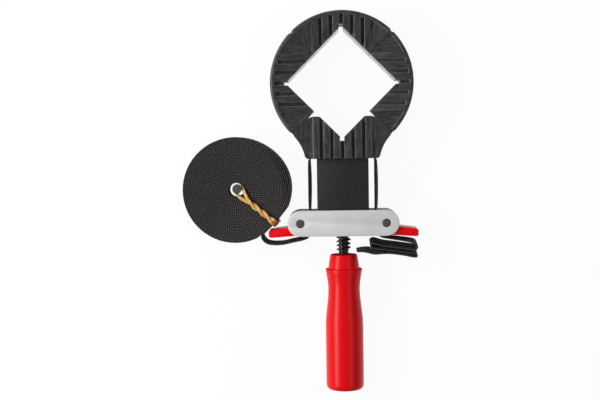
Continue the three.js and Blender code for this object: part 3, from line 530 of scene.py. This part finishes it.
# Rubber band. An amber rubber band loops round the peg below its head, its two sides twist round
# each other across the coil and go over the rim together, back below the coil to the peg's foot.
band_width = 3.5 * mm
band_thickness = 1.9 * mm
band_amber = (0.6, 0.31, 0.075)
band_pale = (0.76, 0.47, 0.16)
# The brown is painted shade where the band turns down over the coil's rim, away from the light.
band_shade_brown = (0.26, 0.075, 0.02)
band_direction = math.radians(-40.1)
band_merge = 15 * mm
band_rim = 52.75 * mm
band_twist_end = band_rim - 4 * mm
band_turns = math.radians(560)
band_stops = 14
band_offset = 1.25 * mm
band_parting = 0.5 * mm
band_twist_middle = 0.5 * mm
band_twist_rise = 0.7 * mm
band_shade_start = 47 * mm
band_shade_end = 53.5 * mm
coil_top = coil_low + coil_unevenness + webbing_width
band_top = coil_top + 1.3 * mm
band_floor = 0.95 * mm
band_steps = 5
band_ahead = Vector((math.cos(band_direction), math.sin(band_direction), 0))
band_beside = Vector((-band_ahead.y, band_ahead.x, 0))
band_section = [(band_thickness / 2 * math.cos(a), band_width / 2 * math.sin(a))
                for a in [2 * math.pi * k / 16 for k in range(16)]]


def band_place(outward, sideways, height):
    """A frame point from the coil's middle: outward along the band, sideways, and up."""
    return Vector((coil_centre.x, coil_centre.y, height)) + band_ahead * outward + band_beside * sideways


def band_strand(side):
    """The middle line of one side of the band, and the direction of its width along it."""
    up = Vector((0, 0, 1))
    wrap = peg_shank + band_thickness / 2
    off_centre = peg_axis - band_place(0, 0, 0)
    peg_ahead, peg_aside = off_centre.dot(band_ahead), off_centre.dot(band_beside)
    loop_height = peg_top - peg_head_height - band_width / 2 - 0.1 * mm
    stops = []
    for degrees in (180, 150, 120, 95):
        angle = math.radians(degrees)
        stops.append((band_place(peg_ahead + wrap * math.cos(angle),
                                 peg_aside + side * wrap * math.sin(angle), loop_height), up))
    stops.append((band_place(peg_ahead + 3.5 * mm, peg_aside + side * 4.1 * mm, loop_height + 0.2 * mm),
                  (up + band_beside * side).normalized()))
    stops.append((band_place(8.5 * mm, peg_aside * 0.4 + side * 3.2 * mm, band_top), band_beside * side))
    for i in range(band_stops + 1):
        turn = band_turns * i / band_stops
        outward = band_merge + (band_twist_end - band_merge) * i / band_stops
        offset = band_offset + (band_parting if i == band_stops else 0)
        place = band_place(outward, side * offset * math.cos(turn),
                           band_top + band_twist_middle + side * band_twist_rise * math.sin(turn))
        stops.append((place, (band_beside * side + up * 0.7 * math.sin(turn + 0.6)).normalized()))
    flip = -1 if math.cos(band_turns) < 0 else 1
    for outward, sideways, height in (
            (band_rim - 0.6 * mm, 1.75 * mm, coil_top + 0.3 * mm),
            (band_rim + 0.2 * mm, 1.8 * mm, coil_top - 2 * mm),
            (band_rim + 0.1 * mm, 1.85 * mm, coil_low + 12 * mm),
            (band_rim + 0.1 * mm, 1.85 * mm, coil_low + 2.2 * mm),
            (band_rim - 1.4 * mm, 1.85 * mm, band_floor), (band_rim * 0.5, 1.9 * mm, band_floor),
            (6.5 * mm, 2.6 * mm, band_floor)):
        stops.append((band_place(outward, side * flip * sideways, height), band_beside * side))
    return [place for place, _ in stops], [way for _, way in stops]


def rubber_finish():
    """Amber rubber, paler where it is stretched, and brown as painted shade where it turns down over the
    rim.
    """
    finish, tree, shader = new_finish("amber_rubber", band_amber, 0.42, 0, 0.35)
    shader.inputs["Subsurface Weight"].default_value = 0.2
    shader.inputs["Subsurface Radius"].default_value = (1.5 * mm, 0.7 * mm, 0.2 * mm)
    shader.inputs["Subsurface Scale"].default_value = 1
    place = tree.nodes.new("ShaderNodeTexCoord")
    middle = tree.nodes.new("ShaderNodeVectorMath")
    middle.operation = "SUBTRACT"
    middle.inputs[1].default_value = (*coil_centre, 0)
    reach = tree.nodes.new("ShaderNodeVectorMath")
    reach.operation = "DOT_PRODUCT"
    reach.inputs[1].default_value = band_ahead
    tree.links.new(place.outputs["Object"], middle.inputs[0])
    tree.links.new(middle.outputs["Vector"], reach.inputs[0])
    # Painted shade: the colour turns brown from just inside the rim outwards.
    rim_shading = tree.nodes.new("ShaderNodeMapRange")
    rim_shading.inputs["From Min"].default_value = band_shade_start
    rim_shading.inputs["From Max"].default_value = band_shade_end
    tree.links.new(reach.outputs["Value"], rim_shading.inputs["Value"])
    mix = tree.nodes.new("ShaderNodeMix")
    mix.data_type = "RGBA"
    two_tone(tree, noise_of(tree, 170, 3), band_amber, band_pale, mix.inputs["A"], 0.4, 0.62)
    mix.inputs["B"].default_value = (*band_shade_brown, 1)
    tree.links.new(rim_shading.outputs["Result"], mix.inputs["Factor"])
    tree.links.new(mix.outputs["Result"], shader.inputs["Base Color"])
    relief(tree, shader, noise_of(tree, 700, 3), 0.08 * mm, 0.5)
    return finish


rubber = rubber_finish()
for side, name, nodes in ((1, "band_upper_side", ["rubber_band"]), (-1, "band_lower_side", [])):
    stops, ways = band_strand(side)
    widths = [way.normalized() for way in smooth_line(ways, band_steps)]
    strand = swept(name, band_section, smooth_line(stops, band_steps), widths, rubber)
    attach(strand, "housing")
    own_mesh(strand)
    if nodes:
        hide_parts(*nodes)

# Corner jaws. Four moulded nylon jaws, dark grey with a fine streaked grain, rounded along the rim
# and ribbed on the face. The faces that grip the work are smooth, and the sloped faces on the edges
# of the ribs are painted a paler grey as a highlight.
jaw_grey = (0.031, 0.0305, 0.0325)
# Paler grey for the sloped faces of the rounded rib edges: a painted highlight.
edge_highlight_grey = (0.12, 0.12, 0.127)
jaw_split_edge = 0.3 * mm
jaw_edge = 0.33 * mm
jaw_rim_edge = 2.4 * mm
level = 0.01 * mm
rim_turn = math.radians(60)
rim_reach = 2.2 * mm
rim_depth = 3.3 * mm
split_reach = 0.4 * mm
grip_reach = 39 * mm
notch_reach = 57.5 * mm
notch_half = 2.4 * mm
face_tolerance = 0.05
grip_tolerance = 0.5 * mm
highlight_slopes = (0.3, 0.95)
grip_slot, highlight_slot = 1, 2


def merged_copy(node):
    """The CAD solid's corners merged and its flat faces made whole, as a bmesh."""
    form = bmesh.new()
    form.from_mesh(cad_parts[node].data)
    bmesh.ops.remove_doubles(form, verts=form.verts, dist=2e-6)
    bmesh.ops.dissolve_limit(form, angle_limit=math.radians(0.8), verts=form.verts, edges=form.edges)
    return form


def sharp_edges(form, least_angle=28):
    """The edges where two faces meet at more than the angle."""
    return [e for e in form.edges if e.is_manifold and e.calc_face_angle() > math.radians(least_angle)]


def round_off(form, edges, width, segments, clamped=True):
    """The edges rounded off."""
    bmesh.ops.bevel(form, geom=edges, offset=width, offset_type="OFFSET", segments=segments, profile=0.5,
                    affect="EDGES", clamp_overlap=clamped, material=-1)


def moulded_finish(name, colour, roughness, grain, grain_depth, mottle, specular, stretch=(1, 1, 1)):
    """Moulded plastic: a fine grain, drawn out one way or even, and slightly uneven colour and gloss."""
    finish, tree, shader = new_finish(name, colour, roughness, 0, specular)
    two_tone(tree, noise_of(tree, 420, 5, stretch), [c * (1 - mottle) for c in colour],
             [c * (1 + mottle) for c in colour], shader.inputs["Base Color"])
    two_tone(tree, noise_of(tree, 60, 4), (roughness - 0.06,) * 3, (roughness + 0.08,) * 3,
             shader.inputs["Roughness"])
    relief(tree, shader, noise_of(tree, grain, 5, stretch), grain_depth, 0.7)
    return finish


def from_ring(point):
    """The point seen from the ring's middle, in plan."""
    return Vector((point.x, point.y - ring_centre.y))


def along_split(edge, reach):
    """Whether the edge lies within reach of a diagonal, where two jaws meet."""
    places = [from_ring(v.co) for v in edge.verts]
    return all(abs(abs(p.x) - abs(p.y)) < reach for p in places)


def left_sharp(edge):
    """Whether the edge stays sharp: very short, at a split, in the rim's channel or at a notch."""
    places = [from_ring(v.co) for v in edge.verts]
    return (edge.calc_length() <= 2 * jaw_split_edge or along_split(edge, 2 * split_reach)
            or all(p.length > ring_radius - rim_depth for p in places)
            or all(min(abs(p.x), abs(p.y)) < notch_half and p.length < notch_reach for p in places))


jaw_finishes = {
    way: moulded_finish("jaw_plastic_" + way, jaw_grey, 0.4, 1000, 0.2 * mm, 0.5, 0.5, stretch)
    for way, stretch in (("sideways", (0.3, 1, 1)), ("endways", (1, 0.3, 1)))}
grip_finish, grip_tree, grip_shader = new_finish("jaw_grip_face", jaw_grey, 0.14, 0, 0.6)
grip_shader.inputs["IOR"].default_value = 1.7
two_tone(grip_tree, noise_of(grip_tree, 120, 2), [c * 0.9 for c in jaw_grey], [c * 1.1 for c in jaw_grey],
         grip_shader.inputs["Base Color"])
edge_highlight_finish = moulded_finish("jaw_edge_highlight", edge_highlight_grey, 0.3, 1000, 0.05 * mm, 0.4, 0.7)
for node, body, grain_way in (
        ("top_jaw", "top_jaw", "endways"), ("left_jaw", "left_jaw", "sideways"),
        ("right_jaw", "right_jaw", "sideways"), ("bottom_jaw", "slider", "endways")):
    form = merged_copy(node)
    low_z, high_z = min(v.co.z for v in form.verts), max(v.co.z for v in form.verts)
    rim = [e for e in form.edges if e.is_manifold and e.calc_face_angle() > rim_turn
           and all(abs(from_ring(v.co).length - ring_radius) < rim_reach for v in e.verts)
           and all(min(abs(v.co.z - low_z), abs(v.co.z - high_z)) < level for v in e.verts)]
    round_off(form, rim, jaw_rim_edge, 4, False)
    round_off(form, [e for e in sharp_edges(form) if along_split(e, split_reach)], jaw_split_edge, 1)
    round_off(form, [e for e in sharp_edges(form) if not left_sharp(e)], jaw_edge, 2, False)
    for face in form.faces:
        face.smooth = True
        middle, normal = from_ring(face.calc_center_median()), face.normal
        slanting = max(abs(normal.z), abs(abs(normal.x) - abs(normal.y))) < face_tolerance
        if slanting and abs(abs(middle.dot(normal.xy)) - grip_reach) < grip_tolerance:
            face.material_index = grip_slot
        # Sloped edge faces get the paler grey, a painted highlight.
        elif highlight_slopes[0] < normal.z < highlight_slopes[1] and middle.length < ring_radius - rim_depth:
            face.material_index = highlight_slot
    jaw = new_object(node + "_moulding", form, jaw_finishes[grain_way], body, [node])
    jaw.data.materials.append(grip_finish)
    jaw.data.materials.append(edge_highlight_finish)
    jaw.data.set_sharp_from_angle(angle=math.radians(30))

# Slider. A matt black glass-filled moulding: a solid head on two cheeks that straddle the nut
# inside the housing, with tongues that plug into the bottom jaw.
slider_black = (0.0105, 0.0105, 0.011)
slider_edge = 0.4 * mm


def rounded_copy(node, name, edge, segments, finish, body, least_angle=28, sharp_angle=30):
    """The CAD solid with its edges rounded, as the named piece that stands for it."""
    form = merged_copy(node)
    round_off(form, sharp_edges(form, least_angle), edge, segments)
    for face in form.faces:
        face.smooth = True
    piece = new_object(name, form, finish, body, [node])
    piece.data.set_sharp_from_angle(angle=math.radians(sharp_angle))


slider_finish = moulded_finish("slider_plastic", slider_black, 0.55, 1300, 0.2 * mm, 0.5, 0.4)
rounded_copy("slider", "slider_moulding", slider_edge, 2, slider_finish, "slider")

# Housing plates. Two long steel plates with round ends about the lever pins, punched, tumbled
# and satin zinc plated, with fine brush lines.
plate_zinc = (0.77, 0.765, 0.775)
plate_edge = 0.35 * mm


def satin_finish():
    """Satin plating: pale, with fine brush lines along the plate and broad soft clouds."""
    finish, tree, shader = new_finish("satin_zinc", plate_zinc, 0.45, 0.35)
    two_tone(tree, noise_of(tree, 45, 4), [c * 0.96 for c in plate_zinc], [c * 1.03 for c in plate_zinc],
             shader.inputs["Base Color"])
    brushed = noise_of(tree, 1400, 4, (0.06, 1, 1))
    two_tone(tree, brushed, (0.4,) * 3, (0.52,) * 3, shader.inputs["Roughness"])
    relief(tree, shader, brushed, 0.02 * mm, 0.4)
    return finish


plate_finish = satin_finish()
for node in ("front_plate", "back_plate"):
    rounded_copy(node, node + "_steel", plate_edge, 3, plate_finish, "housing")

# Rivets. The lever pins are riveted over in both plates; their ends are dark phosphated steel,
# nearly flush, with a turned edge.
rivet_brown = (0.09, 0.073, 0.064)
rivet_edge = 0.35 * mm
rivet_finish = turned_steel("phosphated_steel", rivet_brown, 0.5, 0.4)
for node in ("left_rivet", "right_rivet"):
    low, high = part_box(node)
    radius = (high.x - low.x) / 2
    middle = Vector(((low.x + high.x) / 2, (low.y + high.y) / 2, 0))
    profile = [(0, low.z), (radius - rivet_edge, low.z), (radius, low.z + rivet_edge),
               (radius, high.z - rivet_edge * 1.4), (radius * 0.94, high.z - rivet_edge * 0.6),
               (radius * 0.86, high.z - rivet_edge * 0.2), (radius * 0.7, high.z), (0, high.z)]
    rivet_form = lathe([Vector((r, 0, z)) + middle for r, z in profile], middle, (0, 0, 1), peg_segments)
    rivet = new_object(node + "_pin", rivet_form, rivet_finish, "housing", [node])
    rivet.data.set_sharp_from_angle(angle=math.radians(50))

# Inner steel. The guide blocks and the nut bar sit between the plates, the thrust washer and the
# retaining ring on the spindle's journal. All are plain bright steel, turned or milled, and hardly show.
inner_grey = (0.3, 0.3, 0.31)
inner_finish = turned_steel("bright_steel", inner_grey, 0.4, 0.5)
for node in ("left_guide", "right_guide", "nut_bar", "thrust_washer", "retaining_ring"):
    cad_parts[node].data.materials.clear()
    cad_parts[node].data.materials.append(inner_finish)

# Cam levers. Zinc castings painted gloss red; a thumb pushes the blade to free the webbing.
lever_paint = (0.78, 0.003, 0.006)
lever_edge = 0.6 * mm


def red_gloss(name, colour, roughness, specular):
    """Glossy red with slightly uneven colour and a very slight ripple, as on paint or moulding."""
    finish, tree, shader = new_finish(name, colour, roughness, 0, specular)
    two_tone(tree, noise_of(tree, 24, 3), [c * 0.95 for c in colour], [min(c * 1.04, 1) for c in colour],
             shader.inputs["Base Color"])
    relief(tree, shader, noise_of(tree, 260, 2), 0.03 * mm, 0.4)
    return finish


lever_finish = red_gloss("lever_paint", lever_paint, 0.35, 0.15)
for node in ("left_lever", "right_lever"):
    rounded_copy(node, node + "_cast", lever_edge, 3, lever_finish, node, 40, 35)

# Spindle. A black oxide steel screw with a right-hand trapezoidal thread, splined where it is
# pressed into the handle, and turned down to a journal that holds the slider's head.
spindle_low, spindle_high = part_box("spindle")
spindle_axis = Vector((0, 0, (spindle_low.z + spindle_high.z) / 2))
crest_radius = 7.25 * mm
root_radius = 4.8 * mm
thread_pitch = 4 * mm
thread_phase = 1.1 * mm
thread_steps = 48
thread_profile = [(0, 0), (0, 0.16), (0.2, 0.22), (0.9, 0.36), (1, 0.41), (1, 0.59), (0.9, 0.64),
                  (0.2, 0.78), (0, 0.84), (0, 1)]
thread_low = -28.4 * mm
washer_gap = 0.3 * mm
thread_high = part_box("thrust_washer")[0].y - washer_gap
journal_radius = 4.5 * mm
groove_radius = 3.8 * mm
journal_gap = 0.3 * mm
journal_edge = 0.4 * mm
journal_segments = 40
spline_count = 24
spline_depth = 0.45 * mm
oxide_black = (0.02, 0.02, 0.022)


def oxide_finish():
    """Black oxide steel with a film of oil: dark, glossy, with bright worn spots."""
    finish, tree, shader = new_finish("black_oxide", oxide_black, 0.3, 0.6)
    two_tone(tree, noise_of(tree, 500, 4), oxide_black, (0.09, 0.09, 0.095), shader.inputs["Base Color"],
             0.55, 0.85)
    relief(tree, shader, noise_of(tree, 1500, 3), 0.02 * mm, 0.4)
    return finish


oxide = oxide_finish()
screw_form = bmesh.new()
thread_turns = math.ceil((thread_high - thread_low) / thread_pitch) + 3
thread_start = thread_low - 2 * thread_pitch + thread_phase
thread_verts = [screw_form.verts.new((root_radius + (crest_radius - root_radius) * rise,
                                      thread_start + share * thread_pitch, spindle_axis.z))
                for rise, share in thread_profile]
thread_edges = [screw_form.edges.new(pair) for pair in zip(thread_verts, thread_verts[1:])]
bmesh.ops.spin(screw_form, geom=thread_verts + thread_edges, cent=spindle_axis, axis=(0, 1, 0),
               dvec=(0, thread_pitch / thread_steps, 0), angle=2 * math.pi * thread_turns,
               steps=thread_turns * thread_steps, use_merge=False, use_duplicate=False)
bmesh.ops.remove_doubles(screw_form, verts=screw_form.verts, dist=2e-6)
for cut_y, way in ((thread_low, -1), (thread_high, 1)):
    whole = screw_form.verts[:] + screw_form.edges[:] + screw_form.faces[:]
    bmesh.ops.bisect_plane(screw_form, geom=whole, dist=1e-7, plane_co=(0, cut_y, 0),
                           plane_no=(0, way, 0), clear_outer=True)
bmesh.ops.holes_fill(screw_form, edges=[e for e in screw_form.edges if e.is_boundary], sides=0)
bmesh.ops.recalc_face_normals(screw_form, faces=screw_form.faces)
for face in screw_form.faces:
    face.smooth = True
screw = new_object("spindle_thread", screw_form, oxide, "spindle", ["spindle"])
screw.data.set_sharp_from_angle(angle=math.radians(50))

retaining_low, retaining_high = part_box("retaining_ring")
journal_profile = [
    (0, thread_high), (journal_radius, thread_high), (journal_radius, retaining_low.y - journal_gap),
    (groove_radius, retaining_low.y - journal_gap), (groove_radius, retaining_high.y + journal_gap),
    (journal_radius, retaining_high.y + journal_gap), (journal_radius, spindle_high.y - journal_edge),
    (journal_radius - journal_edge, spindle_high.y), (0, spindle_high.y)]
journal_form = lathe([Vector((r, y, 0)) + spindle_axis for r, y in journal_profile], spindle_axis,
                     (0, 1, 0), journal_segments)
journal = new_object("spindle_journal", journal_form, oxide, "spindle")
journal.data.set_sharp_from_angle(angle=math.radians(38))

spline_form = bmesh.new()
bmesh.ops.create_circle(spline_form, cap_ends=True, segments=spline_count * 4, radius=root_radius)
for i, vert in enumerate(spline_form.verts):
    if i % 4 in (0, 1):
        vert.co = vert.co * (1 - spline_depth / root_radius)
bmesh.ops.rotate(spline_form, verts=spline_form.verts, cent=(0, 0, 0),
                 matrix=Matrix.Rotation(math.pi / 2, 3, "X"))
bmesh.ops.translate(spline_form, verts=spline_form.verts, vec=(0, spindle_low.y, spindle_axis.z))
drawn_out = bmesh.ops.extrude_face_region(spline_form, geom=spline_form.faces[:])
moved = [item for item in drawn_out["geom"] if isinstance(item, bmesh.types.BMVert)]
bmesh.ops.translate(spline_form, verts=moved, vec=(0, thread_low - spindle_low.y, 0))
bmesh.ops.recalc_face_normals(spline_form, faces=spline_form.faces)
new_object("spindle_splines", spline_form, oxide, "spindle")

# Handle. Moulded in glossy red plastic on the spindle's splines: a tapered nose, a collar with a
# small lip, a waist for the thumb and a straight body with a rounded, slightly domed end. The front
# of the nose and the face of the collar are matt.
handle_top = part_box("handle")[1].y
handle_profile = [
    (0, -70), (5.1, -70), (5.1, -0.9), (12.6, -0.9), (13.2, -1.2), (13.5, -2), (13.93, -3.6),
    (14.41, -6.4), (14.92, -9.6), (15.38, -13), (15.58, -14.9), (17.46, -15.05), (18.22, -15.5),
    (18.42, -16.3), (18.02, -18.6), (17.46, -21.6), (16.9, -24.8), (16.44, -27.8), (16.09, -30.8),
    (15.88, -34), (15.83, -37.5), (16.09, -43), (16.75, -49), (17.46, -55), (18.17, -61),
    (18.7, -67), (18.88, -73), (18.88, -131), (18.73, -133), (18.07, -135), (16.85, -136.3),
    (14.82, -136.9), (9.13, -137.3), (0, -137.6)]
handle_segments = 128
handle_red = (0.74, 0.0025, 0.0055)
matt_slot = 1
matt_slope = 0.8
handle_line = [Vector((r * mm, handle_top + y * mm, 0)) + spindle_axis for r, y in handle_profile]
handle = new_object("grip", lathe(handle_line, spindle_axis, (0, 1, 0), handle_segments),
                    red_gloss("handle_plastic", handle_red, 0.3, 0.18), "spindle", ["handle"])
handle.data.materials.append(red_gloss("handle_matt_face", handle_red, 0.8, 0.0))
for polygon in handle.data.polygons:
    if polygon.normal.y > matt_slope:
        polygon.material_index = matt_slot
handle.data.set_sharp_from_angle(angle=math.radians(25))
